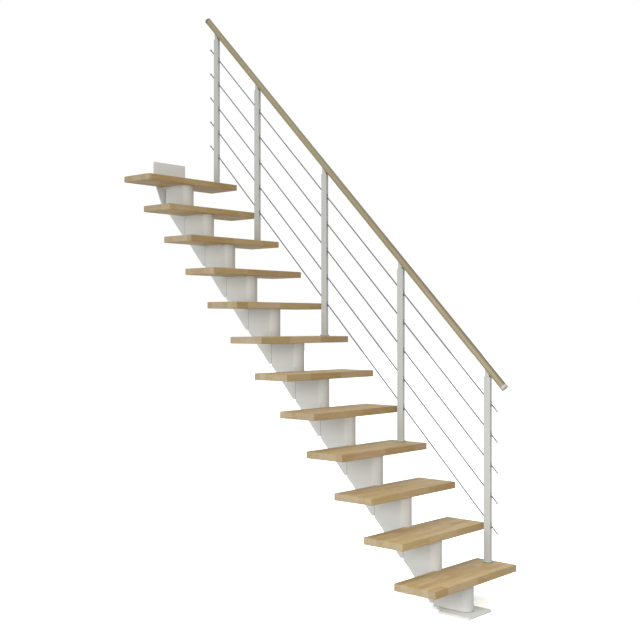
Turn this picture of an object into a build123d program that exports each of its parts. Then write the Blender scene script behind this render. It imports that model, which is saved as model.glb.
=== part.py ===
from build123d import *
from math import atan2, cos, radians, sin, tan
import os

# Mono stringer staircase with a straight flight, in millimetres.
# One central stringer is stacked from steel modules. Each module carries one wooden tread and
# reaches back under the next module with a hollow arm, whose head and neck socket into the foot
# of that module. The lowest module stands on a floor plate and the top one hangs on a wall plate.
# A railing of flat posts, thin rods and a round handrail runs along the climber's right side.
# Axes: +X to the climber's right, +Y up the flight, +Z up.
# Origin: centre of the floor plate's underside.

# Flight
TREAD_COUNT = 12
RISE = 215.0
GOING = 208.0

# Treads
TREAD_WIDTH = 800.0
TREAD_DEPTH = 266.0
TREAD_THICKNESS = 40.0
TREAD_CHAMFER = 2.0

# Floor plate
FLOOR_PLATE_WIDTH = 220.0
FLOOR_PLATE_DEPTH = 202.0
FLOOR_PLATE_THICKNESS = 15.0
FLOOR_PLATE_CORNER = 4.0
FLOOR_BOLT_SPACING_X = 170.0
FLOOR_BOLT_SPACING_Y = 152.0
FLOOR_BOLT_HOLE = 12.0
FLOOR_PLATE_BEHIND_NOSING = 86.0
SPIGOT_HEIGHT = 45.0

# Stringer module: column, support plate, arm, head and neck
COLUMN_WIDTH = 90.0
COLUMN_SETBACK = 37.0
COLUMN_LENGTH = 225.0
COLUMN_DROP = 191.0
STEEL_WALL = 3.0
SUPPORT_THICKNESS = 8.0
SUPPORT_LIP = 15.0
ARM_INSET = 3.0
ARM_DROP = 175.0
ARM_HEEL = 25.0
ARM_ANGLE = 48.3
ARM_TREAD_GAP = 2.0
HEAD_PLATE = 5.0
NECK_HEIGHT = 60.0
NECK_CLEARANCE = 0.5
NECK_REAR_SETBACK = 18.0

# Top module's hanger, which bridges the gap to the wall plate
WALL_GAP = 10.0
HANGER_WIDTH = 56.0

# Wall plate
WALL_PLATE_WIDTH = 284.0
WALL_PLATE_FOOT_WIDTH = 114.0
WALL_PLATE_ABOVE_TREAD = 132.0
WALL_PLATE_TAPER_ABOVE_TREAD = 12.0
WALL_PLATE_THICKNESS = 8.0
WALL_BOLT_SPACING_X = 210.0
WALL_BOLT_SPACING_Z = 64.0
WALL_BOLT_LEVEL = 10.0
WALL_BOLT_HOLE = 11.0

# Railing posts
POST_TREADS = (1, 4, 7, 10, 12)
POST_WIDTH = 22.0
POST_DEPTH = 44.0
POST_WALL = 2.0
POST_CORNER = 1.5
POST_HEIGHT = 1062.0
POST_FROM_TREAD_END = 47.0
POST_BEHIND_NOSING = 162.0
FOOT_DIAMETER = 60.0
FOOT_THICKNESS = 9.0
FOOT_CHAMFER = 1.5

# Rods and their slots in the posts
ROD_COUNT = 5
ROD_DIAMETER = 8.0
ROD_LOWEST = 66.0
ROD_SPACING = 175.0
ROD_OVERHANG = 36.0
ROD_SLOT_CLEARANCE = 0.5
ROD_SLOT_HEIGHT = 36.0
ROD_CAP_DIAMETER = 13.0
ROD_CAP_LENGTH = 12.0

# Handrail
RAIL_DIAMETER = 42.0
RAIL_LEVEL = 953.0
RAIL_BELOW_FIRST_POST = 104.0
RAIL_ABOVE_LAST_POST = 85.0
RAIL_CAP_LENGTH = 16.0
RAIL_CAP_LIP = 0.8

# Rail bracket: cap on the post, block, and cradle along the rail's underside
BRACKET_CAP_THICKNESS = 3.0
BRACKET_WIDTH = 16.0
BRACKET_DEPTH = 31.0
CRADLE_LENGTH = 36.0
CRADLE_WIDTH = 23.0
CRADLE_THICKNESS = 4.0
CRADLE_GAP = 0.3

# Derived places
HEAD_RISE = RISE - COLUMN_DROP
FIRST_TREAD_TOP = FLOOR_PLATE_THICKNESS + COLUMN_DROP
COLUMN_SHOULDER = COLUMN_SETBACK + COLUMN_WIDTH / 2
COLUMN_REAR = COLUMN_SETBACK + COLUMN_LENGTH
SUPPORT_TOP = -TREAD_THICKNESS
COLUMN_TOP = SUPPORT_TOP - SUPPORT_THICKNESS
SLOPE_ANGLE = atan2(RISE, GOING)
SLOPE_DIRECTION = (0, GOING, RISE)
RAILING_X = TREAD_WIDTH / 2 - POST_FROM_TREAD_END


def nosing_y(number):
    """Y of the front edge of a tread, counted from 1 at the bottom."""
    return (number - 1) * GOING - FLOOR_PLATE_BEHIND_NOSING


def tread_top(number):
    """Height of a tread's top face above the floor."""
    return FIRST_TREAD_TOP + (number - 1) * RISE


def pitch_line(y):
    """Height of the line through all nosings at a place along the flight."""
    return FIRST_TREAD_TOP + (y - nosing_y(1)) * RISE / GOING


def post_y(number):
    return nosing_y(number) + POST_BEHIND_NOSING


def at_tread(number):
    """Frame of one tread: nosing at y = 0, tread top at z = 0."""
    return Pos(0, nosing_y(number), tread_top(number))


def slope_plane(y, level):
    """Plane square to the railing's slope, at a height above the pitch line."""
    origin = (RAILING_X, y, pitch_line(y) + level)
    return Plane(origin=origin, x_dir=(1, 0, 0), z_dir=SLOPE_DIRECTION)


def slope_bar(diameter, start_y, end_y, level):
    """Round bar parallel to the slope between two places along the flight."""
    length = (end_y - start_y) / cos(SLOPE_ANGLE)
    return extrude(slope_plane(start_y, level) * Circle(diameter / 2), amount=length)


def d_prism(low, high, inset=0.0, rear=COLUMN_REAR):
    """Upright prism with a module's plan: round front, flat sides and square rear."""
    half = COLUMN_WIDTH / 2 - inset
    rear -= inset
    sides = Polyline(
        (-half, COLUMN_SHOULDER), (-half, rear), (half, rear), (half, COLUMN_SHOULDER)
    )
    nose = ThreePointArc(
        (half, COLUMN_SHOULDER), (0, COLUMN_SHOULDER - half), (-half, COLUMN_SHOULDER)
    )
    return extrude(Pos(0, 0, low) * make_face(sides + nose), amount=high - low)


def socket_tube(low, height, rear):
    """Square-cornered tube that fills the flat-sided part of a column's hollow up to a rear face."""
    width = COLUMN_WIDTH - 2 * (STEEL_WALL + NECK_CLEARANCE)
    length = rear - COLUMN_SHOULDER
    wall = Rectangle(width, length) - Rectangle(width - 2 * STEEL_WALL, length - 2 * STEEL_WALL)
    return extrude(Pos(0, COLUMN_SHOULDER + length / 2, low) * wall, amount=height)


def side_prism(points, width):
    """Prism across the flight from an outline given as (y, z) points."""
    outline = Plane.YZ * make_face(Polyline(*points, close=True))
    return extrude(outline, amount=width / 2, both=True)


def slant_y(level, wall=0.0):
    """Y of the arm's slanted underside at a level; a wall moves it inward."""
    angle = radians(ARM_ANGLE)
    return COLUMN_REAR + ARM_HEEL - wall / sin(angle) + (level + ARM_DROP) / tan(angle)


def arm_outline(wall=0.0):
    """Side view of the arm up to the head's top face, or of the hollow inside its wall."""
    top = HEAD_RISE - (HEAD_PLATE if wall else 0.0)
    front = COLUMN_REAR - 2 * wall
    notch_y = TREAD_DEPTH + ARM_TREAD_GAP + wall
    notch_z = SUPPORT_TOP - wall
    floor = -ARM_DROP + wall
    return (
        (front, floor),
        (slant_y(floor, wall), floor),
        (slant_y(top, wall), top),
        (notch_y, top),
        (notch_y, notch_z),
        (front, notch_z),
    )


def build_support():
    """Plate that closes the column's top, with a lip on each side for the tread's screws."""
    width = COLUMN_WIDTH + 2 * SUPPORT_LIP
    length = TREAD_DEPTH - COLUMN_SHOULDER
    lips = Pos(0, COLUMN_SHOULDER + length / 2, COLUMN_TOP) * Rectangle(width, length)
    return d_prism(COLUMN_TOP, SUPPORT_TOP, rear=TREAD_DEPTH) + extrude(lips, amount=SUPPORT_THICKNESS)


def build_arm():
    """Arm behind the column, with the head that the next module stands on and its neck."""
    arm = side_prism(arm_outline(), COLUMN_WIDTH - 2 * ARM_INSET)
    hollow = side_prism(arm_outline(STEEL_WALL), COLUMN_WIDTH - 2 * (ARM_INSET + STEEL_WALL))
    next_module = Pos(0, GOING, 0)
    before_slant = side_prism(
        ((0, 0), (slant_y(0), 0), (slant_y(HEAD_RISE), HEAD_RISE), (0, HEAD_RISE)), COLUMN_WIDTH
    )
    head = next_module * d_prism(0, HEAD_RISE) & before_slant
    neck = socket_tube(HEAD_RISE, NECK_HEIGHT, COLUMN_REAR - NECK_REAR_SETBACK)
    return arm + head - hollow + next_module * neck


def build_middle_module():
    """Column, arm and support plate in the frame of the module's tread."""
    column = d_prism(-COLUMN_DROP, COLUMN_TOP) + build_arm()
    column -= d_prism(-COLUMN_DROP, COLUMN_TOP, STEEL_WALL)
    return column + build_support()


def build_top_module():
    """Column without an arm, with a hanger behind it that meets the wall plate."""
    rear = TREAD_DEPTH - WALL_GAP
    column = d_prism(-COLUMN_DROP, COLUMN_TOP, rear=rear)
    column -= d_prism(-COLUMN_DROP, COLUMN_TOP, STEEL_WALL, rear)
    hanger = extrude(Rectangle(HANGER_WIDTH, WALL_GAP), amount=COLUMN_TOP + COLUMN_DROP)
    return column + Pos(0, rear + WALL_GAP / 2, -COLUMN_DROP) * hanger + build_support()


def build_tread():
    block = Box(TREAD_WIDTH, TREAD_DEPTH, TREAD_THICKNESS, align=(Align.CENTER, Align.MIN, Align.MAX))
    return chamfer(block.edges(), TREAD_CHAMFER)


def build_floor_plate():
    """Plate bolted to the floor, with a spigot that stands up inside the lowest column."""
    plan = RectangleRounded(FLOOR_PLATE_WIDTH, FLOOR_PLATE_DEPTH, FLOOR_PLATE_CORNER)
    for place in GridLocations(FLOOR_BOLT_SPACING_X, FLOOR_BOLT_SPACING_Y, 2, 2):
        plan -= place * Circle(FLOOR_BOLT_HOLE / 2)
    plate_rear = FLOOR_PLATE_BEHIND_NOSING + FLOOR_PLATE_DEPTH / 2
    spigot = socket_tube(FLOOR_PLATE_THICKNESS, SPIGOT_HEIGHT, plate_rear - STEEL_WALL)
    return extrude(plan, amount=FLOOR_PLATE_THICKNESS) + Pos(0, -FLOOR_PLATE_BEHIND_NOSING, 0) * spigot


def build_wall_plate():
    """Plate on the wall behind the top tread, tapered down to the column's foot."""
    half = WALL_PLATE_WIDTH / 2
    foot = WALL_PLATE_FOOT_WIDTH / 2
    right = (
        (half, WALL_PLATE_ABOVE_TREAD),
        (half, WALL_PLATE_TAPER_ABOVE_TREAD),
        (foot, -COLUMN_DROP),
    )
    left = tuple((-x, z) for x, z in reversed(right))
    outline = make_face(Polyline(*right, *left, close=True))
    for place in GridLocations(WALL_BOLT_SPACING_X, WALL_BOLT_SPACING_Z, 2, 2):
        outline -= Pos(0, WALL_BOLT_LEVEL) * place * Circle(WALL_BOLT_HOLE / 2)
    return Pos(0, TREAD_DEPTH, 0) * extrude(Plane.XZ * outline, amount=-WALL_PLATE_THICKNESS)


def build_post(number):
    """Flat tube with a round foot, and a slot in its front and back face for each rod."""
    outer = Rectangle(POST_WIDTH, POST_DEPTH)
    inner = Rectangle(POST_WIDTH - 2 * POST_WALL, POST_DEPTH - 2 * POST_WALL)
    wall = chamfer(outer.vertices(), POST_CORNER) - inner
    tube = extrude(Pos(0, 0, FOOT_THICKNESS) * wall, amount=POST_HEIGHT - FOOT_THICKNESS)
    foot = extrude(Circle(FOOT_DIAMETER / 2), amount=FOOT_THICKNESS)
    foot = chamfer(foot.edges().group_by(Axis.Z)[-1], FOOT_CHAMFER)
    post = Pos(RAILING_X, post_y(number), tread_top(number)) * (tube + foot)
    slot = Box(ROD_DIAMETER + 2 * ROD_SLOT_CLEARANCE, 2 * POST_WALL, ROD_SLOT_HEIGHT)
    for level in rod_levels():
        for side in (-1, 1):
            y = post_y(number) + side * (POST_DEPTH - POST_WALL) / 2
            post -= Pos(RAILING_X, y, pitch_line(y) + level) * slot
    return post


def rod_levels():
    return [ROD_LOWEST + step * ROD_SPACING for step in range(ROD_COUNT)]


def railing_ends(past_first, past_last):
    """Y of both ends of a bar that runs past the lowest and the highest post's middle."""
    return post_y(POST_TREADS[0]) - past_first, post_y(POST_TREADS[-1]) + past_last


def end_caps(diameter, length, ends, level):
    """Round caps that continue a sloping bar at both ends."""
    along = length * cos(SLOPE_ANGLE)
    return [
        slope_bar(diameter, ends[0] - along, ends[0], level),
        slope_bar(diameter, ends[1], ends[1] + along, level),
    ]


def build_bracket(number):
    """Cap on the post's top, and block up to the cradle that lies along the rail's underside."""
    y = post_y(number)
    on_post = Pos(RAILING_X, y, tread_top(number) + POST_HEIGHT)
    cap = extrude(Rectangle(POST_WIDTH, POST_DEPTH), amount=BRACKET_CAP_THICKNESS)
    block_height = pitch_line(y) + RAIL_LEVEL - tread_top(number) - POST_HEIGHT
    block = extrude(Rectangle(BRACKET_WIDTH, BRACKET_DEPTH), amount=block_height)
    under_rail = slope_plane(y, RAIL_LEVEL - RAIL_DIAMETER / 2 / cos(SLOPE_ANGLE))
    cradle = under_rail * Box(CRADLE_WIDTH, 2 * CRADLE_THICKNESS, CRADLE_LENGTH)
    rail_space = slope_bar(
        RAIL_DIAMETER + 2 * CRADLE_GAP, y - CRADLE_LENGTH, y + CRADLE_LENGTH, RAIL_LEVEL
    )
    return on_post * (cap + block) + cradle - rail_space


def save(shape, name):
    export_step(shape, os.path.join("parts", name + ".step"))


def main():
    os.makedirs("parts", exist_ok=True)
    save(build_floor_plate(), "floor_plate")

    middle_module = build_middle_module()
    top_module = build_top_module()
    tread = build_tread()
    for number in range(1, TREAD_COUNT + 1):
        module = top_module if number == TREAD_COUNT else middle_module
        save(at_tread(number) * module, f"stringer_module_{number:02d}")
        save(at_tread(number) * tread, f"tread_{number:02d}")

    save(at_tread(TREAD_COUNT) * build_wall_plate(), "wall_plate")

    for position, number in enumerate(POST_TREADS, start=1):
        save(build_post(number), f"post_{position}")

    rod_reach = POST_DEPTH / 2 + ROD_OVERHANG
    rod_ends = railing_ends(rod_reach, rod_reach)
    rod_caps = []
    for position, level in enumerate(rod_levels(), start=1):
        save(slope_bar(ROD_DIAMETER, *rod_ends, level), f"rod_{position}")
        rod_caps += end_caps(ROD_CAP_DIAMETER, ROD_CAP_LENGTH, rod_ends, level)
    save(Compound(children=rod_caps), "rod_end_caps")

    rail_ends = railing_ends(RAIL_BELOW_FIRST_POST, RAIL_ABOVE_LAST_POST)
    save(slope_bar(RAIL_DIAMETER, *rail_ends, RAIL_LEVEL), "handrail")
    rail_caps = end_caps(RAIL_DIAMETER + 2 * RAIL_CAP_LIP, RAIL_CAP_LENGTH, rail_ends, RAIL_LEVEL)
    save(Compound(children=rail_caps), "handrail_caps")

    brackets = [build_bracket(number) for number in POST_TREADS]
    save(Compound(children=brackets), "rail_brackets")


main()
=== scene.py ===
# %% [markdown]
# # Mono stringer staircase
#
# A straight flight of twelve glued hardwood treads climbs on one white steel stringer. The
# stringer is a stack of equal modules: a D-shaped column under each tread, and a slanted arm that
# reaches back to the foot of the next column. A railing of flat steel posts, thin rods and a
# round wooden handrail stands on the climber's right.
#
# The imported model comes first. It gives the true place and size of every part, in metres, with
# the origin under the floor plate, +X to the climber's right, +Y up the flight and +Z up. Blender
# adds what the eye looks for close by: rounded edges, glued wood, paint, seals and screws.

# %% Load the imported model
import math

import bmesh
import bpy
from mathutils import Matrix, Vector


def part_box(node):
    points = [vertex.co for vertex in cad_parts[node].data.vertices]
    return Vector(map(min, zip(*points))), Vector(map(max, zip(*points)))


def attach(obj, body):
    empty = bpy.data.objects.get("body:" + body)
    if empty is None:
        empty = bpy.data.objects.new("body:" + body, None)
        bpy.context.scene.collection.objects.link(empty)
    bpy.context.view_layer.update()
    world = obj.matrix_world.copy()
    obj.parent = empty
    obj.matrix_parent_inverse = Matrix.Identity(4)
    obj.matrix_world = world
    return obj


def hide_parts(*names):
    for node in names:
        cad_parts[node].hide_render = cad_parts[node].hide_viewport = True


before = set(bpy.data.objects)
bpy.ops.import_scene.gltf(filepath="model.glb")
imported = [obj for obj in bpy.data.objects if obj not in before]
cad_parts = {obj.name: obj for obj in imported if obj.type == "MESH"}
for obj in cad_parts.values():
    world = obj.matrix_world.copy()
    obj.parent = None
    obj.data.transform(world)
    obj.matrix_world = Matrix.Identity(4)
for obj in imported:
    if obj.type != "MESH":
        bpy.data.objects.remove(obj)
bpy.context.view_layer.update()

# %% [markdown]
# ## The flight's measures
#
# The flight repeats one step twelve times, so a few measures place everything else: how far each
# step goes and rises, where the first board lies, and where the posts stand. They could be typed
# in as numbers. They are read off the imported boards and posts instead, so that they stay true
# when the model's sizes change. The few that can't be read there are named where they are first
# needed. All are in metres.

# %% Measures of the flight
TREADS = 12
board_low, board_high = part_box("tread_01")
next_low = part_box("tread_02")[0]
GOING = next_low.y - board_low.y
RISE = next_low.z - board_low.z
SLOPE = math.atan2(RISE, GOING)
BOARD = board_high - board_low
print(f"going {GOING:.3f}, rise {RISE:.3f}, slope {math.degrees(SLOPE):.1f} degrees, board {BOARD}")

# %% Measures of the railing
POSTS = 5
post_boxes = [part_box(f"post_{position}") for position in range(1, POSTS + 1)]
RAILING_X = (post_boxes[0][0].x + post_boxes[0][1].x) / 2
post_ys = [(low.y + high.y) / 2 for low, high in post_boxes]
print("railing at x", round(RAILING_X, 3), "posts at y", [round(y, 3) for y in post_ys])

# %% [markdown]
# ## The camera
#
# The picture was taken from the left and front of the flight, a little above the level of the
# seventh tread. A lens of 57.6 mm and a place 4.7 m to the side and 3.1 m in front bring most of
# the boards' corners to within a pixel of where the picture has them, and the rest to within two.
# The camera is made first, so that each piece can be looked at while it is being made. Its data
# and its object are made directly, because a camera has no shape to work on with operators.

# %% Camera, its place in metres, its turn in degrees and its lens in millimetres
CAMERA_PLACE = (-4.707, -3.109, 1.575)
CAMERA_TURN = (90.2177, 0, -48.513)
LENS = 57.592
SENSOR_WIDTH = 36
bpy.ops.object.select_all(action="DESELECT")
camera_data = bpy.data.cameras.new("camera")
camera_data.lens = LENS
camera_data.sensor_width = SENSOR_WIDTH
camera = bpy.data.objects.new("camera", camera_data)
bpy.context.scene.collection.objects.link(camera)
camera.location = CAMERA_PLACE
camera.rotation_euler = [math.radians(degrees) for degrees in CAMERA_TURN]
bpy.context.scene.camera = camera
print("camera at", CAMERA_PLACE, "with a lens of", LENS, "mm")

# %% [markdown]
# ## A small language for materials
#
# A procedural material is a sum: a stave's tone, plus its grain, minus its pores. Node trees
# hide such sums in wires, so two small classes let them be written as Python. `Number` wraps a
# socket and turns `+`, `-`, `*` and `/` into Math nodes. `Nodes` owns one tree, and its `node`
# method makes every other kind of node. `Finish` is the tree of one material.

# %% Number: a socket that can be calculated with
class Number:
    def __init__(self, nodes, socket):
        self.nodes = nodes
        self.socket = socket

    def math(self, operation, *others):
        inputs = dict(enumerate((self, *others)))
        return self.nodes.node("ShaderNodeMath", {"operation": operation}, inputs)

    def __add__(self, other):
        return self.math("ADD", other)

    def __radd__(self, other):
        return self.math("ADD", other)

    def __sub__(self, other):
        return self.math("SUBTRACT", other)

    def __mul__(self, other):
        return self.math("MULTIPLY", other)

    def __truediv__(self, other):
        return self.math("DIVIDE", other)


print("Number is ready")

# %% Nodes: one tree and the ways to fill it
class Nodes:
    def __init__(self, tree):
        self.tree = tree

    def node(self, kind, settings=None, inputs=None, output=0):
        """A new node with its settings, then its inputs; returns one of its outputs."""
        made = self.tree.nodes.new(kind)
        for setting, value in (settings or {}).items():
            if setting == "stops":
                self.fill_ramp(made.color_ramp, value)
            else:
                setattr(made, setting, value)
        for name, value in (inputs or {}).items():
            self.feed(made.inputs[name], value)
        return Number(self, made.outputs[output])

    def fill_ramp(self, ramp, stops):
        while len(ramp.elements) < len(stops):
            ramp.elements.new(1.0)
        for element, (place, shade) in zip(ramp.elements, stops):
            element.position = place
            element.color = shade

    def feed(self, socket, value):
        """Wires a socket to a Number, or sets it to a constant."""
        if isinstance(value, Number):
            self.tree.links.new(value.socket, socket)
        else:
            socket.default_value = value

    def blend(self, factor, first, second, how="MIX"):
        """Mix of two colours; a Mix node keeps them in inputs 6 and 7, and the result in output 2."""
        settings = {"data_type": "RGBA", "blend_type": how}
        return self.node("ShaderNodeMix", settings, {0: factor, 6: first, 7: second}, 2)

    def ray(self, kind):
        """1 for one kind of ray, such as Is Camera Ray, and 0 for all others."""
        return self.node("ShaderNodeLightPath", output=kind)

    def mirrored(self):
        """1 for what the camera sees in a shiny surface or through glass."""
        return self.ray("Is Glossy Ray") + self.ray("Is Transmission Ray")


print("Nodes is ready")

# %% Finish: the tree of one material
class Finish(Nodes):
    def __init__(self, name, **constants):
        self.material = bpy.data.materials.new(name)
        self.material.use_nodes = True
        super().__init__(self.material.node_tree)
        self.shader = self.tree.nodes["Principled BSDF"]
        self.surface(**constants)

    def surface(self, **sockets):
        """Feeds sockets of the shader, whose names have _ for a space."""
        for name, value in sockets.items():
            self.feed(self.shader.inputs[name.replace("_", " ")], value)

    def place(self, turn=(0, 0, 0), origin=(0, 0, 0)):
        """Object coordinates as three numbers, from an origin and in turned axes."""
        where = self.node("ShaderNodeTexCoord", output="Object")
        mapping = {"Vector": where, "Location": origin, "Rotation": turn}
        mapped = self.node("ShaderNodeMapping", {"vector_type": "TEXTURE"}, mapping)
        split = self.node("ShaderNodeSeparateXYZ", None, {"Vector": mapped})
        return [Number(self, split.socket.node.outputs[axis]) for axis in "XYZ"]

    def noise(self, place, waves, seed, detail, rough=0.5):
        """Noise between 0 and 1, with so many waves per metre along each of three axes."""
        x, y, z = [axis * count for axis, count in zip(place, waves)]
        where = self.node("ShaderNodeCombineXYZ", None, {"X": x, "Y": y, "Z": z})
        inputs = {"Vector": where, "W": seed, "Scale": 1.0, "Detail": detail, "Roughness": rough}
        return self.node("ShaderNodeTexNoise", {"noise_dimensions": "4D"}, inputs)

    def chance(self, seed):
        """A random number that is the same wherever the seed is the same."""
        return self.node("ShaderNodeTexWhiteNoise", {"noise_dimensions": "1D"}, {"W": seed})

    def bump(self, height, strength, distance):
        inputs = {"Height": height, "Strength": strength, "Distance": distance}
        self.surface(Normal=self.node("ShaderNodeBump", None, inputs))


print("Finish is ready")

# %% Colours
def linear(level):
    """A level from 0 to 255 by a screen's curve, straight near black and a power above it."""
    share = level / 255
    return share / 12.92 if share < 0.04045 else ((share + 0.055) / 1.055) ** 2.4


def colour(red, green, blue):
    """A colour as it is read off a screen, as the linear numbers that nodes take."""
    return (linear(red), linear(green), linear(blue), 1.0)


def scaled(shade, factor):
    """The same colour, lighter or darker."""
    return (*[min(1.0, part * factor) for part in shade[:3]], 1.0)


print("middle grey is", round(linear(128), 3))

# %% [markdown]
# ## Painted steel
#
# The stringer, its plates and the posts are powder coated: a thick satin skin of baked paint. It
# is nearly one colour, but never quite. Its surface has a fine orange peel, and its gloss drifts
# a little. Two noises are enough: a slow one for tone and gloss, and a fine one for the bump. Each
# part has a white or grey of its own. The floor plate and the wall plate are whiter than the
# modules, as painted light that lifts the shade they stand in.

# %% Powder coat, with its patterns in waves per metre
SLOW_DRIFT = (6, 6, 6)
ORANGE_PEEL = (900, 900, 900)
DARKEST_PAINT = 0.94


def powder_coat(name, shade, rough):
    """Paint whose gloss drifts by a twentieth up and down, under a peel of up to 0.2 mm."""
    finish = Finish(name, IOR=1.45)
    place = finish.place()
    drift = finish.noise(place, SLOW_DRIFT, seed=0.3, detail=2.0)
    peel = finish.noise(place, ORANGE_PEEL, seed=1.7, detail=2.0)
    finish.surface(
        Base_Color=finish.blend(drift, shade, scaled(shade, DARKEST_PAINT)),
        Roughness=rough + (drift - 0.5) * 0.10 + (peel - 0.5) * 0.05,
    )
    finish.bump(peel, strength=0.12, distance=0.0002)
    return finish.material


module_paint = powder_coat("module_paint", colour(208, 209, 205), rough=0.50)
# painted light: both plates are whiter than the modules, to lift the shade they stand in
floor_plate_painted_light = powder_coat("floor_plate_painted_light", colour(236, 237, 234), rough=0.50)
wall_plate_painted_light = powder_coat("wall_plate_painted_light", colour(221, 224, 222), rough=0.50)
post_paint = powder_coat("post_paint", colour(195, 197, 193), rough=0.45)
# painted shade: the dark cradle paint stands in for the shade under the rail in front of each post
cradle_painted_shade = powder_coat("cradle_painted_shade", colour(84, 80, 66), rough=0.50)
lower_cap_paint = powder_coat("lower_cap_paint", colour(192, 188, 175), rough=0.50)
# painted shade and reflection: the upper cap is painted dark for the dark surroundings it reflects
upper_cap_painted_reflection = powder_coat("upper_cap_painted_reflection", colour(109, 111, 95), rough=0.50)
print("paints: modules, floor plate, wall plate, posts, cradles, the handrail's caps")

# %% [markdown]
# ## Glued wood
#
# A tread is a panel of staves glued side by side and end to end, each a strip of another board.
# So the tone jumps from stave to stave, and the growth rings run in different directions. A
# picture of wood could be laid on each face, but its lines would break at the edges. This
# material works in the solid instead: it finds the stave that a point lies in, gives that stave
# its own tone and its own place in a log, and draws the rings round the log's middle. Cut ends
# then show arcs and faces show streaks, as real wood does, with no unwrapping.

# %% Tones that staves of one wood come in
WOOD_TONES = (
    (0.0, colour(190, 167, 110)),
    (0.2, colour(203, 184, 133)),
    (0.4, colour(201, 177, 138)),
    (0.6, colour(187, 161, 108)),
    (0.8, colour(195, 172, 118)),
    (1.0, colour(212, 194, 154)),
)
HEARTWOOD = colour(206, 180, 154)
GLUE_LINE = colour(148, 118, 80)
print("stave tones:", len(WOOD_TONES))

# %% The wood's figure, in waves per metre along the grain, across it and through the board
WANDER = (2.2, 9, 9)
STREAKS = (5, 140, 140)
CLOUDS = (6, 22, 22)
PORES = (60, 1500, 1500)
RINGS = 1150  # radians of a sine per metre from the log's middle
print("a growth ring every", round(2 * math.pi / RINGS * 1000, 1), "mm")

# %% Where a log's middle may lie below and beside its stave, in metres
LOG_BESIDE = 0.05
LOG_BELOW = 0.02
LOG_FURTHER_BELOW = 0.07
RING_WANDER = 0.022
print(f"logs' middles lie {LOG_BELOW} to {LOG_BELOW + LOG_FURTHER_BELOW} m below")

# %% The figure of one stave
PORE_START = 0.60
PORE_STRENGTH = 5


def stave_figure(finish, place, beside, below, seed):
    """Growth rings round a log's middle, and streaks, clouds and pores along the grain."""
    wander = finish.noise(place, WANDER, seed, detail=2.0) - 0.5
    radius = (beside * beside + below * below).math("SQRT") + wander * RING_WANDER
    rings = (radius * RINGS).math("SINE") * 0.5 + 0.5
    streaks = finish.noise(place, STREAKS, seed, detail=4.0, rough=0.6)
    clouds = finish.noise(place, CLOUDS, seed, detail=2.0)
    pores = finish.noise(place, PORES, seed, detail=1.0)
    fleck = (pores - PORE_START).math("MAXIMUM", 0.0) * PORE_STRENGTH
    return rings, streaks, clouds, fleck


print("the figure is ready")

# %% Stave wood, where the glue shows in the outer hundredths of a row
GLUE_START = 0.482
GLUE_STRENGTH = 22


def stave_wood(finish, along, across, up, panel, rows, length, stain):
    """Colour, roughness and bump of glued staves that run along the first of three axes.

    There are so many rows of staves in a metre, and a stave has a length. A panel's number
    shuffles its staves. A stain is how much of the wood it covers, and its colour.
    """
    amount, tint = stain
    row = (across * rows).math("FLOOR")
    # odd steps from seed to seed, so that no two staves share their chances
    row_seed = row * 3.17 + panel * 11.3
    stave = (along / length + finish.chance(row_seed)).math("FLOOR")
    seed = row_seed + stave * 5.71
    tone = finish.chance(seed)
    core = finish.chance(seed + 0.37)
    lean = finish.chance(seed + 0.71)

    beside = across - (row + 0.5) / rows + (lean - 0.5) * LOG_BESIDE
    below = up + LOG_BELOW + core * LOG_FURTHER_BELOW
    place = (along, across, up)
    rings, streaks, clouds, fleck = stave_figure(finish, place, beside, below, seed)

    # mostly streaks and clouds, because the rings are faint in this wood
    figure = rings * 0.16 + streaks * 0.9 + clouds * 0.7
    base = finish.node("ShaderNodeValToRGB", {"stops": WOOD_TONES}, {"Fac": tone})
    dark = finish.blend(1.0, base, HEARTWOOD, "MULTIPLY")
    grained = finish.blend((figure - 0.50) * 1.1, base, dark)
    from_middle = ((across * rows).math("FRACT") - 0.5).math("ABSOLUTE")
    glue = (from_middle - GLUE_START).math("MAXIMUM", 0.0) * GLUE_STRENGTH
    wood = finish.blend(glue * 0.5 + fleck * 0.3, grained, GLUE_LINE)
    finish.surface(
        Base_Color=finish.blend(amount, wood, tint),
        Roughness=0.46 + streaks * 0.16 + fleck * 0.1,
    )
    height = rings * 0.25 + streaks - fleck * 0.8 - glue
    finish.bump(height, strength=0.25, distance=0.0004)
    return finish.material


print("stave wood is ready")

# %% Wood of the treads, also as its sawn ends and as its rounded edges, which are darker
STAVES_IN_A_BOARD = 6
STAVE_LENGTH = 0.28


def board_wood(name, amount, tint):
    """Staves that are counted from each board's own front edge, so that no two boards match."""
    finish = Finish(name, IOR=1.48)
    x, y, z = finish.place()
    # a tenth of a rise is added, so that a board's underside counts with its own board
    panel = ((z - board_low.z) / RISE + 0.1).math("FLOOR")
    along = x - board_low.x
    across = y - board_low.y - panel * GOING
    up = z - board_low.z - panel * RISE
    rows = STAVES_IN_A_BOARD / BOARD.y
    return stave_wood(finish, along, across, up, panel, rows, STAVE_LENGTH, (amount, tint))


tread_wood = board_wood("tread_wood_finish", 0.0, GLUE_LINE)
tread_end_wood = board_wood("tread_end_finish", 0.36, colour(144, 146, 140))
tread_edge_wood = board_wood("tread_edge_finish", 0.30, colour(132, 110, 72))
print("woods:", tread_wood.name, tread_end_wood.name, tread_edge_wood.name)

# %% [markdown]
# ## Wood of the handrail
#
# The rail is turned from one row of long staves and stained. The stain is darker along its top, as
# painted shade on the side turned from the light. The same stave wood serves again: its axes are
# turned to the slope and start in the rail's middle, so that height above the middle tells where
# the painted shade on the top begins.

# %% The rail's line
RAIL_LEVEL = 0.953


def pitch_line(y):
    """Height of the line through all nosings, which the railing follows at a level above it."""
    return board_high.z + (y - board_low.y) * RISE / GOING


print("the rail's middle is", RAIL_LEVEL, "above the nosings")

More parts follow.
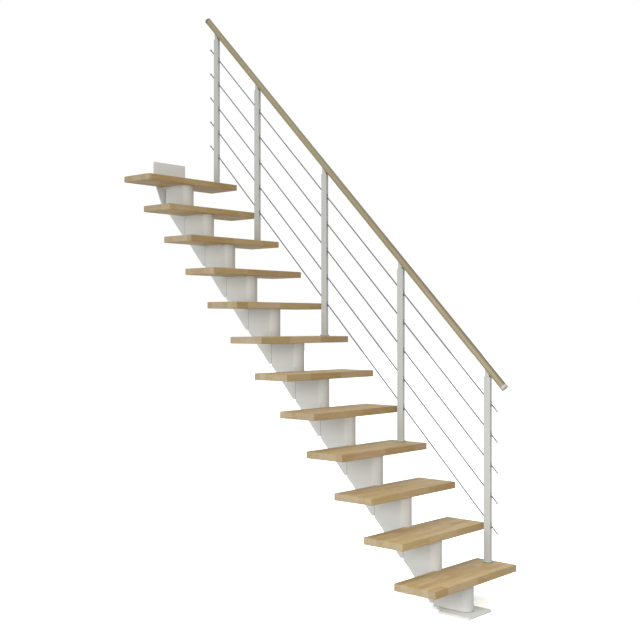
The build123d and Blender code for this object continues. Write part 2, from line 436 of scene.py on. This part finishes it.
# %% Handrail wood, with one row of staves that is wider than the rail
RAIL_ROW = 0.05
RAIL_STAVE = 1.15
RAIL_PANEL = 31.0
RAIL_DEPTH = 0.02
RAIL_BLOTCHES = (7, 20, 20)
TOP_SHADE_FROM = 0.0120
TOP_SHADE_FADE = 0.0045
STAIN = 0.64
TOP_SHADE_STAIN = 0.20
rail_middle = (RAILING_X, 0, pitch_line(0) + RAIL_LEVEL)
rail_finish = Finish("rail_wood_finish", IOR=1.48)
rail_across, rail_along, rail_up = rail_finish.place((SLOPE, 0, 0), rail_middle)
# painted shade: above this height the rail's top is stained darker, for the side turned from the
# light
top_shade = ((rail_up - TOP_SHADE_FROM) / TOP_SHADE_FADE).math("MAXIMUM", 0.0).math("MINIMUM", 1.0)
rail_place = (rail_along, rail_across, rail_up)
drift = rail_finish.noise(rail_place, RAIL_BLOTCHES, seed=4.2, detail=1.0)
olive, brown, top_shade_olive = colour(132, 140, 107), colour(147, 140, 124), colour(108, 107, 85)
# the noise keeps near its middle, so it is stretched to reach both colours
olive_or_brown = rail_finish.blend(drift * 2.4 - 0.7, olive, brown)
rail_tint = rail_finish.blend(top_shade, olive_or_brown, top_shade_olive)
rail_wood = stave_wood(
    rail_finish, rail_along, rail_across + RAIL_ROW / 2, rail_up + RAIL_DEPTH, RAIL_PANEL,
    rows=1 / RAIL_ROW, length=RAIL_STAVE, stain=(STAIN + top_shade * TOP_SHADE_STAIN, rail_tint),
)
print("wood:", rail_wood.name)

# %% [markdown]
# ## Bare metal and plastic
#
# The rods are drawn steel, so their scratches run lengthwise. A noise stretched along the rod
# and read by roughness and bump does that. The small plastic and rubber parts are moulded: one
# colour, a faint grain, and no shine.

# %% Drawn steel, with its patterns in waves per metre across, along and through the rod
SCRATCHES = (2500, 25, 2500)
DULL_PATCHES = (30, 8, 30)
DARKEST_STEEL = 0.8


def drawn_steel(name, shade, rough, turn):
    """Steel whose scratches run along the second axis, in turned axes."""
    finish = Finish(name, Metallic=1.0)
    place = finish.place(turn)
    scratch = finish.noise(place, SCRATCHES, seed=0.9, detail=2.0)
    cloud = finish.noise(place, DULL_PATCHES, seed=2.1, detail=2.0)
    finish.surface(
        Base_Color=finish.blend(cloud, shade, scaled(shade, DARKEST_STEEL)),
        Roughness=rough + (scratch - 0.5) * 0.18,
    )
    finish.bump(scratch, strength=0.10, distance=0.0001)
    return finish.material


rod_steel = drawn_steel("rod_steel_finish", colour(124, 124, 126), 0.36, (SLOPE, 0, 0))
screw_steel = drawn_steel("screw_steel_finish", colour(176, 176, 178), 0.34, (0, 0, 0))
print("metals:", rod_steel.name, screw_steel.name)

# %% Moulded plastic and rubber
MOULD_GRAIN = (1600, 1600, 1600)
LIGHTEST_PLASTIC = 1.12


def moulded_plastic(name, shade, rough):
    """Plastic or rubber with the fine grain of its mould."""
    finish = Finish(name, IOR=1.5)
    grain = finish.noise(finish.place(), MOULD_GRAIN, seed=0.2, detail=1.0)
    finish.surface(
        Base_Color=finish.blend(grain, shade, scaled(shade, LIGHTEST_PLASTIC)),
        Roughness=rough + (grain - 0.5) * 0.12,
    )
    finish.bump(grain, strength=0.2, distance=0.0001)
    return finish.material


rod_cap_plastic = moulded_plastic("rod_cap_plastic", colour(178, 178, 175), rough=0.5)
bush_plastic = moulded_plastic("bush_plastic", colour(140, 140, 137), rough=0.6)
# painted shade: the dark ring at the lowest column's foot paints the contact shade there
foot_painted_shade = moulded_plastic("foot_painted_shade", colour(112, 112, 108), rough=0.75)
# partly painted shade: the washers' dark brown also paints the contact shadow under each foot
washer_rubber_and_shade = moulded_plastic("washer_rubber_and_shade", colour(104, 92, 76), rough=0.75)
# painted shade: the dark joint strips paint the shadow in the gap where each arm meets its column
gap_painted_shade = moulded_plastic("gap_painted_shade", colour(92, 92, 88), rough=0.75)
print("plastics: rod caps and bushes; rubbers: seal, washers and joints")

# %% [markdown]
# ## Working by hand, in code
#
# Operators act on whatever is selected, so every step starts with nothing selected, and then
# picks faces or edges by where they are or which way they point. A finished piece keeps its place
# in its mesh, rides on the stair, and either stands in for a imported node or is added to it.

# %% Selecting
SAME_PLACE = 1e-5  # metres within which two places are one
FACING = 0.99  # the least of a normal that points along an axis, for a face that looks that way


def start_clean():
    if bpy.context.object and bpy.context.object.mode != "OBJECT":
        bpy.ops.object.mode_set(mode="OBJECT")
    bpy.ops.object.select_all(action="DESELECT")


def activate(piece):
    start_clean()
    piece.select_set(True)
    bpy.context.view_layer.objects.active = piece


def pick(kind, test):
    """In edit mode, selects the edges or faces that pass a test, and counts them."""
    bpy.ops.mesh.select_mode(type=kind)
    bpy.ops.mesh.select_all(action="DESELECT")
    mesh = bmesh.from_edit_mesh(bpy.context.object.data)
    items = {"EDGE": mesh.edges, "FACE": mesh.faces}[kind]
    for item in items:
        item.select_set(bool(test(item)))
    mesh.select_flush_mode()
    bmesh.update_edit_mesh(bpy.context.object.data)
    return sum(item.select for item in items)


def pull(x, y, z):
    """In edit mode, extrudes what is selected and moves it."""
    bpy.ops.mesh.extrude_region_move(TRANSFORM_OT_translate={"value": (x, y, z)})


print("selecting is ready")

# %% Starting a piece
def settle():
    """Puts the active object's place, turn and size into its mesh."""
    bpy.ops.object.transform_apply(location=True, rotation=True, scale=True)


def block(name, low, high):
    """A box between two corners, with its place in its mesh, left in edit mode."""
    start_clean()
    low, high = Vector(low), Vector(high)
    bpy.ops.mesh.primitive_cube_add(size=1, location=(low + high) / 2, scale=high - low)
    settle()
    piece = bpy.context.object
    piece.name = piece.data.name = name
    bpy.ops.object.mode_set(mode="EDIT")
    bpy.ops.mesh.select_all(action="SELECT")
    return piece


print("blocks are ready")

# %% Copying and joining pieces
def own_copy(piece, name, shift=(0, 0, 0), turn=(0, 0, 0)):
    """A copy with its own mesh, turned about the origin and moved, with its place in its mesh."""
    activate(piece)
    bpy.ops.object.duplicate(linked=False)
    copy = bpy.context.object
    copy.name = copy.data.name = name
    copy.rotation_euler = turn
    copy.location = shift
    settle()
    return copy


def joined(pieces, name):
    """Several pieces made one."""
    start_clean()
    for piece in pieces:
        piece.select_set(True)
    bpy.context.view_layer.objects.active = pieces[0]
    bpy.ops.object.join()
    whole = bpy.context.object
    whole.name = whole.data.name = name
    return whole


def put_away(*pieces):
    """Removes the pieces that were only there to be copied."""
    start_clean()
    for piece in pieces:
        bpy.data.objects.remove(piece)


print("copying is ready")

# %% Rounding edges and shading them
SHEET_ROUNDING = 0.0008
FINE_ROUNDING = 0.0005
CAP_ROUNDING = 0.0012
ROUNDED_FROM = math.radians(30)
SMOOTH_UNDER = math.radians(40)


def shade_softly(piece):
    """Smooth shading over small turns, with flat faces kept flat."""
    activate(piece)
    bpy.ops.object.shade_smooth_by_angle(angle=SMOOTH_UNDER)
    weighted = piece.modifiers.new("flat_faces_stay_flat", "WEIGHTED_NORMAL")
    weighted.keep_sharp = True
    bpy.ops.object.modifier_apply(modifier=weighted.name)


def round_edges(piece, width, segments=2):
    """Rounds every edge where the surface turns sharply, and shades the rounding smoothly."""
    activate(piece)
    bevel = piece.modifiers.new("round_edges", "BEVEL")
    bevel.width = width
    bevel.segments = segments
    bevel.limit_method = "ANGLE"
    bevel.angle_limit = ROUNDED_FROM
    bpy.ops.object.modifier_apply(modifier=bevel.name)
    shade_softly(piece)


print("rounding is ready, for sheet", SHEET_ROUNDING, "and for finer parts", FINE_ROUNDING)

# %% Handing a finished piece over
def add_on(piece, slot, *materials):
    """Gives a piece its materials, in the order of its faces' slots, and fixes it to the stair."""
    while len(piece.data.materials) < len(materials):
        piece.data.materials.append(None)
    for index, material in enumerate(materials):
        piece.data.materials[index] = material
    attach(piece, "root")


def stand_in(piece, node, slot, *materials):
    """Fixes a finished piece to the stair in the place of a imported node."""
    add_on(piece, slot, *materials)
    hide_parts(node)


print("handing over is ready")

# %% [markdown]
# ## Treads
#
# Each tread is a 40 mm panel, 800 mm wide and 266 mm deep. A router has run round it and left a
# small rounding on every edge, where the wood is coloured a little darker. A bevel modifier
# could round it, but the bevel operator can also give the rounding a finish of its own. So one
# board is shaped from a block in edit mode, and copied up the flight.

# %% One tread board
EDGE_ROUNDING = 0.003
BOARD_FINISHES = (tread_wood, tread_edge_wood, tread_end_wood)
EDGE_FINISH = BOARD_FINISHES.index(tread_edge_wood)
END_FINISH = BOARD_FINISHES.index(tread_end_wood)
board = block("tread_board", board_low, board_high)
for finish in BOARD_FINISHES:
    board.data.materials.append(finish)
bpy.ops.mesh.bevel(
    offset=EDGE_ROUNDING, segments=4, profile=0.5, affect="EDGES", material=EDGE_FINISH
)
pick("FACE", lambda face: abs(face.normal.x) > FACING)
board.active_material_index = END_FINISH
bpy.ops.object.material_slot_assign()
bpy.ops.object.mode_set(mode="OBJECT")
shade_softly(board)
edge_faces = sum(face.material_index == EDGE_FINISH for face in board.data.polygons)
print("board faces:", len(board.data.polygons), "on rounded edges:", edge_faces)

# %% Twelve boards
def step_up(number):
    """The way from the first tread's place to another's, counted from 1 at the bottom."""
    return (0, (number - 1) * GOING, (number - 1) * RISE)


def tread_top(number):
    """Height of a tread's top face."""
    return board_high.z + (number - 1) * RISE


for number in range(1, TREADS + 1):
    tread = own_copy(board, f"board_{number:02d}", step_up(number))
    stand_in(tread, f"tread_{number:02d}", "tread_wood", *BOARD_FINISHES)
put_away(board)
print("twelve treads, the last at height", round(tread_top(TREADS), 3))

# %% [markdown]
# ## Stringer, plates and posts
#
# These are right in shape already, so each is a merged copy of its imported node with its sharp
# edges rounded, as bent and welded sheet has them under paint. Merging comes first, because a
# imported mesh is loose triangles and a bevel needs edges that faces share.

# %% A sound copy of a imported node
FLAT_WITHIN = math.radians(0.5)


def sound_copy(node, name):
    """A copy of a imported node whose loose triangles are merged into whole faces."""
    start_clean()
    piece = bpy.data.objects.new(name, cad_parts[node].data.copy())
    bpy.context.scene.collection.objects.link(piece)
    piece.data.name = name
    activate(piece)
    bpy.ops.mesh.customdata_custom_splitnormals_clear()
    bpy.ops.object.mode_set(mode="EDIT")
    bpy.ops.mesh.select_mode(type="FACE")
    bpy.ops.mesh.select_all(action="SELECT")
    bpy.ops.mesh.remove_doubles(threshold=SAME_PLACE)
    bpy.ops.mesh.dissolve_limited(angle_limit=FLAT_WITHIN)
    bpy.ops.object.mode_set(mode="OBJECT")
    return piece


print("a sound copy is ready")

# %% Stringer modules and plates
for number in range(1, TREADS + 1):
    module = sound_copy(f"stringer_module_{number:02d}", f"module_{number:02d}")
    round_edges(module, SHEET_ROUNDING)
    stand_in(module, f"stringer_module_{number:02d}", "white_steel", module_paint)
for node, paint in (("floor_plate", floor_plate_painted_light), ("wall_plate", wall_plate_painted_light)):
    plate = sound_copy(node, node + "_piece")
    round_edges(plate, SHEET_ROUNDING)
    stand_in(plate, node, "white_steel", paint)
print("modules and plates done")

# %% Posts
for position in range(1, POSTS + 1):
    post = sound_copy(f"post_{position}", f"post_{position}_piece")
    round_edges(post, FINE_ROUNDING)
    stand_in(post, f"post_{position}", "post_steel", post_paint)
print("posts done")

# %% [markdown]
# ## Painted shade under the lowest column
#
# The lowest column stands on its plate on a thin dark ring, which paints the contact shade there
# as a fine dark line. It follows the column's plan, so it could be cut from the column's own mesh,
# but the plan is simple enough to draw: a disc whose rear half is cut away and pulled back into
# two straight sides.

# %% The column's plan, with its places up the flight counted from the first board's front edge
COLUMN_HALF = 0.045
COLUMN_SHOULDER = board_low.y + 0.082
COLUMN_REAR = board_low.y + 0.262
ROUND = 64
plate_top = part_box("stringer_module_01")[0].z
print("the column stands at height", round(plate_top, 4))

# %% Painted shade ring at the foot of the lowest column
SHADE_RING_HEIGHT = 0.0022
SHADE_RING_PROUD = 0.0012
start_clean()
bpy.ops.mesh.primitive_circle_add(
    vertices=ROUND,
    radius=COLUMN_HALF + SHADE_RING_PROUD,
    fill_type="NGON",
    location=(0, COLUMN_SHOULDER, plate_top),
)
settle()
foot_shade_ring = bpy.context.object
foot_shade_ring.name = foot_shade_ring.data.name = "column_foot_shade_ring"
bpy.ops.object.mode_set(mode="EDIT")
bpy.ops.mesh.select_all(action="SELECT")
bpy.ops.mesh.bisect(plane_co=(0, COLUMN_SHOULDER, 0), plane_no=(0, 1, 0), clear_outer=True)
pick("EDGE", lambda edge: all(abs(vert.co.y - COLUMN_SHOULDER) < SAME_PLACE for vert in edge.verts))
pull(0, COLUMN_REAR + SHADE_RING_PROUD - COLUMN_SHOULDER, 0)
bpy.ops.mesh.select_all(action="SELECT")
pull(0, 0, SHADE_RING_HEIGHT)
bpy.ops.mesh.select_all(action="SELECT")
bpy.ops.mesh.normals_make_consistent(inside=False)
bpy.ops.object.mode_set(mode="OBJECT")
round_edges(foot_shade_ring, FINE_ROUNDING)
add_on(foot_shade_ring, "cap_plastic", foot_painted_shade)
print("seal faces:", len(foot_shade_ring.data.polygons))

# %% [markdown]
# ## Painted shadow lines behind the columns
#
# Where an arm meets its column, a slim dark strip on both sides, from the arm's foot up to the
# support plate, is painted shade for the shadow in the gap at that corner. The arm is a little
# narrower than the column, so the strip has to stand proud of the arm to be seen past the step. It
# could be a line in the paint, but a line has no shadow. A slim block with its upright edges
# rounded is enough, copied to both sides of each module that has an arm.

# %% Joints
SUPPORT_THICKNESS = 0.008
SUPPORT_UNDERSIDE = board_low.z - SUPPORT_THICKNESS
JOINT_WIDTH = 0.0024
JOINT_PROUD = 0.0026
JOINT_SUNK = 0.0003
ARM_HALF = 0.042
ARM_DROP = 0.175
joint = block(
    "joint",
    (-ARM_HALF - JOINT_PROUD, COLUMN_REAR, board_high.z - ARM_DROP),
    (-ARM_HALF + JOINT_SUNK, COLUMN_REAR + JOINT_WIDTH, SUPPORT_UNDERSIDE),
)
pick("EDGE", lambda edge: abs(edge.verts[0].co.z - edge.verts[1].co.z) > ARM_DROP / 2)
bpy.ops.mesh.bevel(offset=JOINT_WIDTH / 4, segments=2, affect="EDGES")
bpy.ops.object.mode_set(mode="OBJECT")
across_arm = Vector((2 * ARM_HALF + JOINT_PROUD - JOINT_SUNK, 0, 0))
for number in range(1, TREADS):
    shift = Vector(step_up(number))
    left = own_copy(joint, "joint_copy", shift)
    right = own_copy(joint, "joint_copy", shift + across_arm)
    add_on(joined([left, right], f"arm_joints_{number:02d}"), "cap_plastic", gap_painted_shade)
put_away(joint)
print("joints on", TREADS - 1, "modules")

# %% [markdown]
# ## Washers under the posts
#
# Each post's foot stands on a rubber washer that spares the wood; its dark brown is also painted
# shade, for the contact shadow under the foot. The foot hides all but its rim, so a disc just wider
# than the foot would do. Its middle is sunk by an inset and an extrude, so that the foot presses on
# a lip, as on a real washer.

# %% Washers under the posts' feet
FOOT_RADIUS = 0.030
WASHER_HEIGHT = 0.0020
WASHER_PROUD = 0.0006
WASHER_LIP = 0.0020
WASHER_SUNK = 0.0010
WASHER_ROUNDING = 0.0004
start_clean()
bpy.ops.mesh.primitive_cylinder_add(
    vertices=ROUND,
    radius=FOOT_RADIUS + WASHER_PROUD,
    depth=WASHER_HEIGHT,
    location=(RAILING_X, 0, WASHER_HEIGHT / 2),
)
settle()
washer = bpy.context.object
bpy.ops.object.mode_set(mode="EDIT")
pick("FACE", lambda face: face.normal.z > FACING)
bpy.ops.mesh.inset(thickness=WASHER_LIP)
pull(0, 0, -WASHER_SUNK)
bpy.ops.object.mode_set(mode="OBJECT")
round_edges(washer, WASHER_ROUNDING)
for position, (low, high) in enumerate(post_boxes, start=1):
    place = (0, post_ys[position - 1], low.z)
    washer_copy = own_copy(washer, f"post_washer_{position}", place)
    add_on(washer_copy, "cap_plastic", washer_rubber_and_shade)
put_away(washer)
print("five washers at heights", [round(low.z, 3) for low, high in post_boxes])

# %% [markdown]
# ## Screws
#
# Four flat-headed screws hold each tread from below, through the lips of its support plate. The
# floor plate and the wall plate have four each, sunk flush in their holes and painted over, which
# is why they hardly show. A head could be a cylinder with a hexagon cut out by a boolean, which
# leaves thin stray faces. Here a round rim is bridged to a hexagon, and the hexagon is pushed in
# for the key. The head is made once, facing up, and turned for each place.

# %% One screw head, its key hole and rounding as shares of the head
KEY_RADIUS = 0.55
KEY_DEPTH = 0.6
HEAD_ROUNDING = 0.07


def screw_head(name, radius, height):
    """A head that stands on z = 0 and faces up, with a hexagonal hole for the key."""
    start_clean()
    bpy.ops.mesh.primitive_circle_add(vertices=24, radius=radius, location=(0, 0, height))
    head = bpy.context.object
    head.name = head.data.name = name
    settle()
    bpy.ops.object.mode_set(mode="EDIT")
    bpy.ops.mesh.select_all(action="SELECT")
    pull(0, 0, -height)
    bpy.ops.mesh.edge_face_add()
    bpy.ops.mesh.select_all(action="DESELECT")
    bpy.ops.mesh.primitive_circle_add(
        vertices=6, radius=radius * KEY_RADIUS, location=(0, 0, height)
    )
    pick("EDGE", lambda edge: all(abs(vert.co.z - height) < SAME_PLACE for vert in edge.verts))
    bpy.ops.mesh.bridge_edge_loops()
    between = radius * (KEY_RADIUS + 1) / 2
    pick("EDGE", lambda edge: all(vert.co.xy.length < between for vert in edge.verts))
    pull(0, 0, -height * KEY_DEPTH)
    bpy.ops.mesh.edge_face_add()
    bpy.ops.mesh.select_all(action="SELECT")
    bpy.ops.mesh.normals_make_consistent(inside=False)
    bpy.ops.object.mode_set(mode="OBJECT")
    round_edges(head, radius * HEAD_ROUNDING)
    return head


tread_screw = screw_head("tread_screw", radius=0.0055, height=0.0030)
print("screw head faces:", len(tread_screw.data.polygons))

# %% Screws under each tread, up the flight counted from the board's front edge
LIP_SCREW_XS = (-0.0525, 0.0525)
LIP_SCREW_YS = (0.112, 0.236)
for number in range(1, TREADS + 1):
    _, on, up = step_up(number)
    row = []
    for x in LIP_SCREW_XS:
        for y in LIP_SCREW_YS:
            place = (x, board_low.y + y + on, SUPPORT_UNDERSIDE + up)
            row.append(own_copy(tread_screw, "screw_copy", place, (math.pi, 0, 0)))
    screws = joined(row, f"tread_screws_{number:02d}")
    add_on(screws, "rod_steel", screw_steel)
print("four screws under each of", TREADS, "treads")

# %% Painted screws in the floor plate and the wall plate, the latter counted from the top tread
FLOOR_SCREW_XS = (-0.085, 0.085)
FLOOR_SCREW_YS = (-0.076, 0.076)
WALL_SCREW_XS = (-0.105, 0.105)
WALL_SCREW_LEVELS = (-0.022, 0.042)
SCREW_OFF_BACK = 0.0005
floor_screw = screw_head("floor_screw", radius=0.0059, height=0.0120)
wall_screw = screw_head("wall_screw", radius=0.0054, height=0.0065)
floor_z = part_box("floor_plate")[0].z + SCREW_OFF_BACK
floor_row = [
    own_copy(floor_screw, "screw_copy", (x, y, floor_z))
    for x in FLOOR_SCREW_XS
    for y in FLOOR_SCREW_YS
]
wall_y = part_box("wall_plate")[1].y - SCREW_OFF_BACK
wall_row = [
    own_copy(wall_screw, "screw_copy", (x, wall_y, tread_top(TREADS) + z), (math.pi / 2, 0, 0))
    for x in WALL_SCREW_XS
    for z in WALL_SCREW_LEVELS
]
add_on(joined(floor_row, "floor_screws"), "white_steel", floor_plate_painted_light)
add_on(joined(wall_row, "wall_screws"), "white_steel", wall_plate_painted_light)
put_away(tread_screw, floor_screw, wall_screw)
print("painted screws:", len(floor_row), "in the floor plate,", len(wall_row), "in the wall plate")

# %% [markdown]
# ## Bushes in the posts' slots
#
# A rod crosses a post at a slant, so it goes through an upright slot in each narrow face. A grey
# plastic bush fills the slot round the rod. A dark patch in the paint could stand for it, but
# from close by the slot needs depth. So it is a small block with its edges rounded and its face
# sunk, made once and copied to both faces of each post at every rod.

# %% One bush
SLOT_HALF_WIDTH = 0.0044
SLOT_HALF_HEIGHT = 0.0179
BUSH_PROUD = 0.0006
BUSH_DEPTH = 0.003
BUSH_CORNER = 0.0020
BUSH_RIM = 0.0011
BUSH_SUNK = 0.0014
bush = block(
    "bush",
    (RAILING_X - SLOT_HALF_WIDTH, -BUSH_PROUD, -SLOT_HALF_HEIGHT),
    (RAILING_X + SLOT_HALF_WIDTH, BUSH_DEPTH, SLOT_HALF_HEIGHT),
)
pick("EDGE", lambda edge: abs(edge.verts[0].co.y - edge.verts[1].co.y) > BUSH_DEPTH / 2)
bpy.ops.mesh.bevel(offset=BUSH_CORNER, segments=3, affect="EDGES")
pick("FACE", lambda face: face.normal.y < -FACING)
bpy.ops.mesh.inset(thickness=BUSH_RIM)
pull(0, BUSH_SUNK, 0)
bpy.ops.object.mode_set(mode="OBJECT")
back_bush = own_copy(bush, "back_bush", (2 * RAILING_X, 0, 0), (0, 0, math.pi))
print("bush faces:", len(bush.data.polygons))

# %% Bushes of each post, with the rods' levels counted up from the pitch line
RODS = 5
LOWEST_ROD = 0.066
ROD_SPACING = 0.175
POST_HALF_DEPTH = 0.022
HALF_WALL = 0.001
rod_levels = [LOWEST_ROD + step * ROD_SPACING for step in range(RODS)]
for position, y in enumerate(post_ys, start=1):
    row = []
    for level in rod_levels:
        for side, shape in ((-1, bush), (1, back_bush)):
            centre = pitch_line(y + side * (POST_HALF_DEPTH - HALF_WALL)) + level
            row.append(own_copy(shape, "bush_copy", (0, y + side * POST_HALF_DEPTH, centre)))
    bushes = joined(row, f"rod_bushes_{position}")
    shade_softly(bushes)
    add_on(bushes, "cap_plastic", bush_plastic)
put_away(bush, back_bush)
print("ten bushes in each of", POSTS, "posts")

# %% [markdown]
# ## Rods and handrail
#
# The rods and the handrail are straight round bars, and their imported shapes are already true. So
# they are merged copies too, with their rims rounded. The handrail ends in two caps, each with a
# sunk disc: the lower one pale, and the upper one dark, as painted shade and dark reflection. An
# inset with a depth makes the disc, and a second finish on the faces of one end makes the dark cap.

# %% Rods and their caps
ROD_RIM = 0.0004
for position in range(1, RODS + 1):
    rod = sound_copy(f"rod_{position}", f"rod_{position}_piece")
    round_edges(rod, ROD_RIM)
    stand_in(rod, f"rod_{position}", "rod_steel", rod_steel)
rod_caps = sound_copy("rod_end_caps", "rod_caps_piece")
round_edges(rod_caps, CAP_ROUNDING, segments=3)
stand_in(rod_caps, "rod_end_caps", "cap_plastic", rod_cap_plastic)
print("rods done")

# %% Handrail
rail = sound_copy("handrail", "handrail_piece")
round_edges(rail, FINE_ROUNDING)
stand_in(rail, "handrail", "rail_wood", rail_wood)
print("handrail faces:", len(rail.data.polygons))

# %% Handrail caps
CAP_RIM = 0.0028
DISC_EDGE = 0.0006
DISC_SUNK = 0.0010
UPPER_CAP = 1
along_rail = Vector((0, math.cos(SLOPE), math.sin(SLOPE)))
caps_low, caps_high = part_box("handrail_caps")
middle_y = (caps_low.y + caps_high.y) / 2


def on_outer_end(face):
    """True for the round faces that close the two caps."""
    outwards = 1 if face.calc_center_median().y > middle_y else -1
    return face.normal.dot(along_rail) * outwards > FACING


rail_caps = sound_copy("handrail_caps", "handrail_caps_piece")
stand_in(rail_caps, "handrail_caps", "rail_cap_metal", lower_cap_paint, upper_cap_painted_reflection)
activate(rail_caps)
bpy.ops.object.mode_set(mode="EDIT")
print("outer ends:", pick("FACE", on_outer_end))
bpy.ops.mesh.inset(thickness=CAP_RIM)
bpy.ops.mesh.inset(thickness=DISC_EDGE, depth=-DISC_SUNK)
# the upper end's faces take the painted shade and reflection
pick("FACE", lambda face: face.calc_center_median().y > middle_y)
rail_caps.active_material_index = UPPER_CAP
bpy.ops.object.material_slot_assign()
bpy.ops.object.mode_set(mode="OBJECT")
round_edges(rail_caps, CAP_ROUNDING, segments=3)

# %% [markdown]
# ## Brackets
#
# A bracket caps each post and holds a cradle along the rail's underside. It is painted as the
# post is, but the cradle is painted dark in front of the post, as painted shade under the rail. Its
# shape is right already, so this is a merged copy again, and only the cradle's faces take a second
# finish. They are told by how far they lie below the rail's underside.

# %% Brackets
RAIL_RADIUS = 0.021
CRADLE_REACH = 0.0045
FRONT_OF_POST = 0.002
SHADED_CRADLE = 1


def in_shaded_cradle_front(face):
    """True for the cradle's faces near the rail's underside and in front of the post, for painted
    shade.
    """
    centre = face.calc_center_median()
    underside = pitch_line(centre.y) + RAIL_LEVEL - RAIL_RADIUS / math.cos(SLOPE)
    near = min(post_ys, key=lambda y: abs(y - centre.y))
    below_rail = (underside - centre.z) * math.cos(SLOPE)
    return below_rail < CRADLE_REACH and centre.y < near - FRONT_OF_POST


brackets = sound_copy("rail_brackets", "rail_brackets_piece")
round_edges(brackets, FINE_ROUNDING)
stand_in(brackets, "rail_brackets", "bracket_steel", post_paint, cradle_painted_shade)
activate(brackets)
bpy.ops.object.mode_set(mode="EDIT")
print("cradle faces:", pick("FACE", in_shaded_cradle_front))
# the cradle's front faces take the painted shade
brackets.active_material_index = SHADED_CRADLE
bpy.ops.object.material_slot_assign()
bpy.ops.object.mode_set(mode="OBJECT")

# %% [markdown]
# ## Light
#
# The stair stands in an even, white studio. Most light is soft and comes from all round, so the
# world is plain grey to the light that falls on the stair, and white to the camera. It is white
# in mirrors and glass too, where the camera looks on. Four round lamps add the rest: the key
# stands low on the left, because a high one would put the columns in their treads' shade. One
# overhead lifts the treads' tops, and two small ones fill the foot of the flight.

# %% World
WHITE = (1.0, 1.0, 1.0, 1.0)
SOFT_LIGHT = 0.65
world = bpy.data.worlds.new("studio")
bpy.context.scene.world = world
world.use_nodes = True
world.node_tree.nodes.clear()
studio = Nodes(world.node_tree)
soft = studio.node("ShaderNodeBackground", None, {"Color": WHITE, "Strength": SOFT_LIGHT})
white = studio.node("ShaderNodeBackground", None, {"Color": WHITE, "Strength": 1.0})
seen = studio.ray("Is Camera Ray") + studio.mirrored()
mixed = studio.node("ShaderNodeMixShader", None, {0: seen, 1: soft, 2: white})
world_end = world.node_tree.nodes.new("ShaderNodeOutputWorld")
studio.feed(world_end.inputs["Surface"], mixed)
print("soft light of", SOFT_LIGHT)

# %% Lamps
def lamp(name, place, target, size, brightness):
    """A round lamp that adds its brightness, as a share of plain white light, at its target."""
    distance = Vector(target) - Vector(place)
    data = bpy.data.lights.new(name, "AREA")
    data.shape = "DISK"
    data.size = size
    data.energy = math.pi ** 2 * brightness * distance.length_squared
    made = bpy.data.objects.new(name, data)
    bpy.context.scene.collection.objects.link(made)
    made.location = place
    made.rotation_euler = distance.to_track_quat("-Z", "Y").to_euler()
    print(name, "lamp of", round(data.energy), "W")


lamp("key", place=(-6.2, 0.6, 2.0), target=(0, 1.8, 2.1), size=2.8, brightness=0.46)
lamp("overhead", place=(0.5, 0.6, 7.0), target=(0, 1.1, 1.6), size=4.0, brightness=0.31)
lamp("low_front", place=(-0.7, -1.1, 1.0), target=(0.1, 0.1, 0.3), size=0.8, brightness=0.26)
lamp("low_left", place=(-2.2, -0.4, 0.2), target=(0, 0.1, 0.1), size=0.6, brightness=0.17)

# %% [markdown]
# ## Floor
#
# The floor is plain and pale, and it keeps the stair's shadow. Its colour depends on who looks.
# It throws back as much light on the stair as a light grey floor would, or else the treads'
# undersides come out too bright. To the camera it is so pale that only the shadow shows, and
# between the two in what shines.

# %% Floor
FLOOR_SIZE = 80
PLAIN_FLOOR = (0.38, 0.38, 0.38, 1.0)
MIRRORED_FLOOR = (1.2, 1.2, 1.2, 1.0)
VISIBLE_FLOOR = (2.2, 2.2, 2.2, 1.0)
start_clean()
bpy.ops.mesh.primitive_plane_add(size=FLOOR_SIZE)
floor = bpy.context.object
floor.name = "floor"
floor_finish = Finish("floor_finish")
grey = floor_finish.blend(floor_finish.mirrored(), PLAIN_FLOOR, MIRRORED_FLOOR)
tint = floor_finish.blend(floor_finish.ray("Is Camera Ray"), grey, VISIBLE_FLOOR)
matt = floor_finish.node("ShaderNodeBsdfDiffuse", None, {"Color": tint})
floor_finish.feed(floor_finish.tree.nodes["Material Output"].inputs["Surface"], matt)
floor.data.materials.append(floor_finish.material)
print("floor done")

# %% [markdown]
# ## Close
#
# The finished pieces must fill the imported model's box and not more. The picture is shown with
# the plain Standard view, so that colours come out as written.

# %% Close
bpy.context.scene.view_settings.view_transform = "Standard"
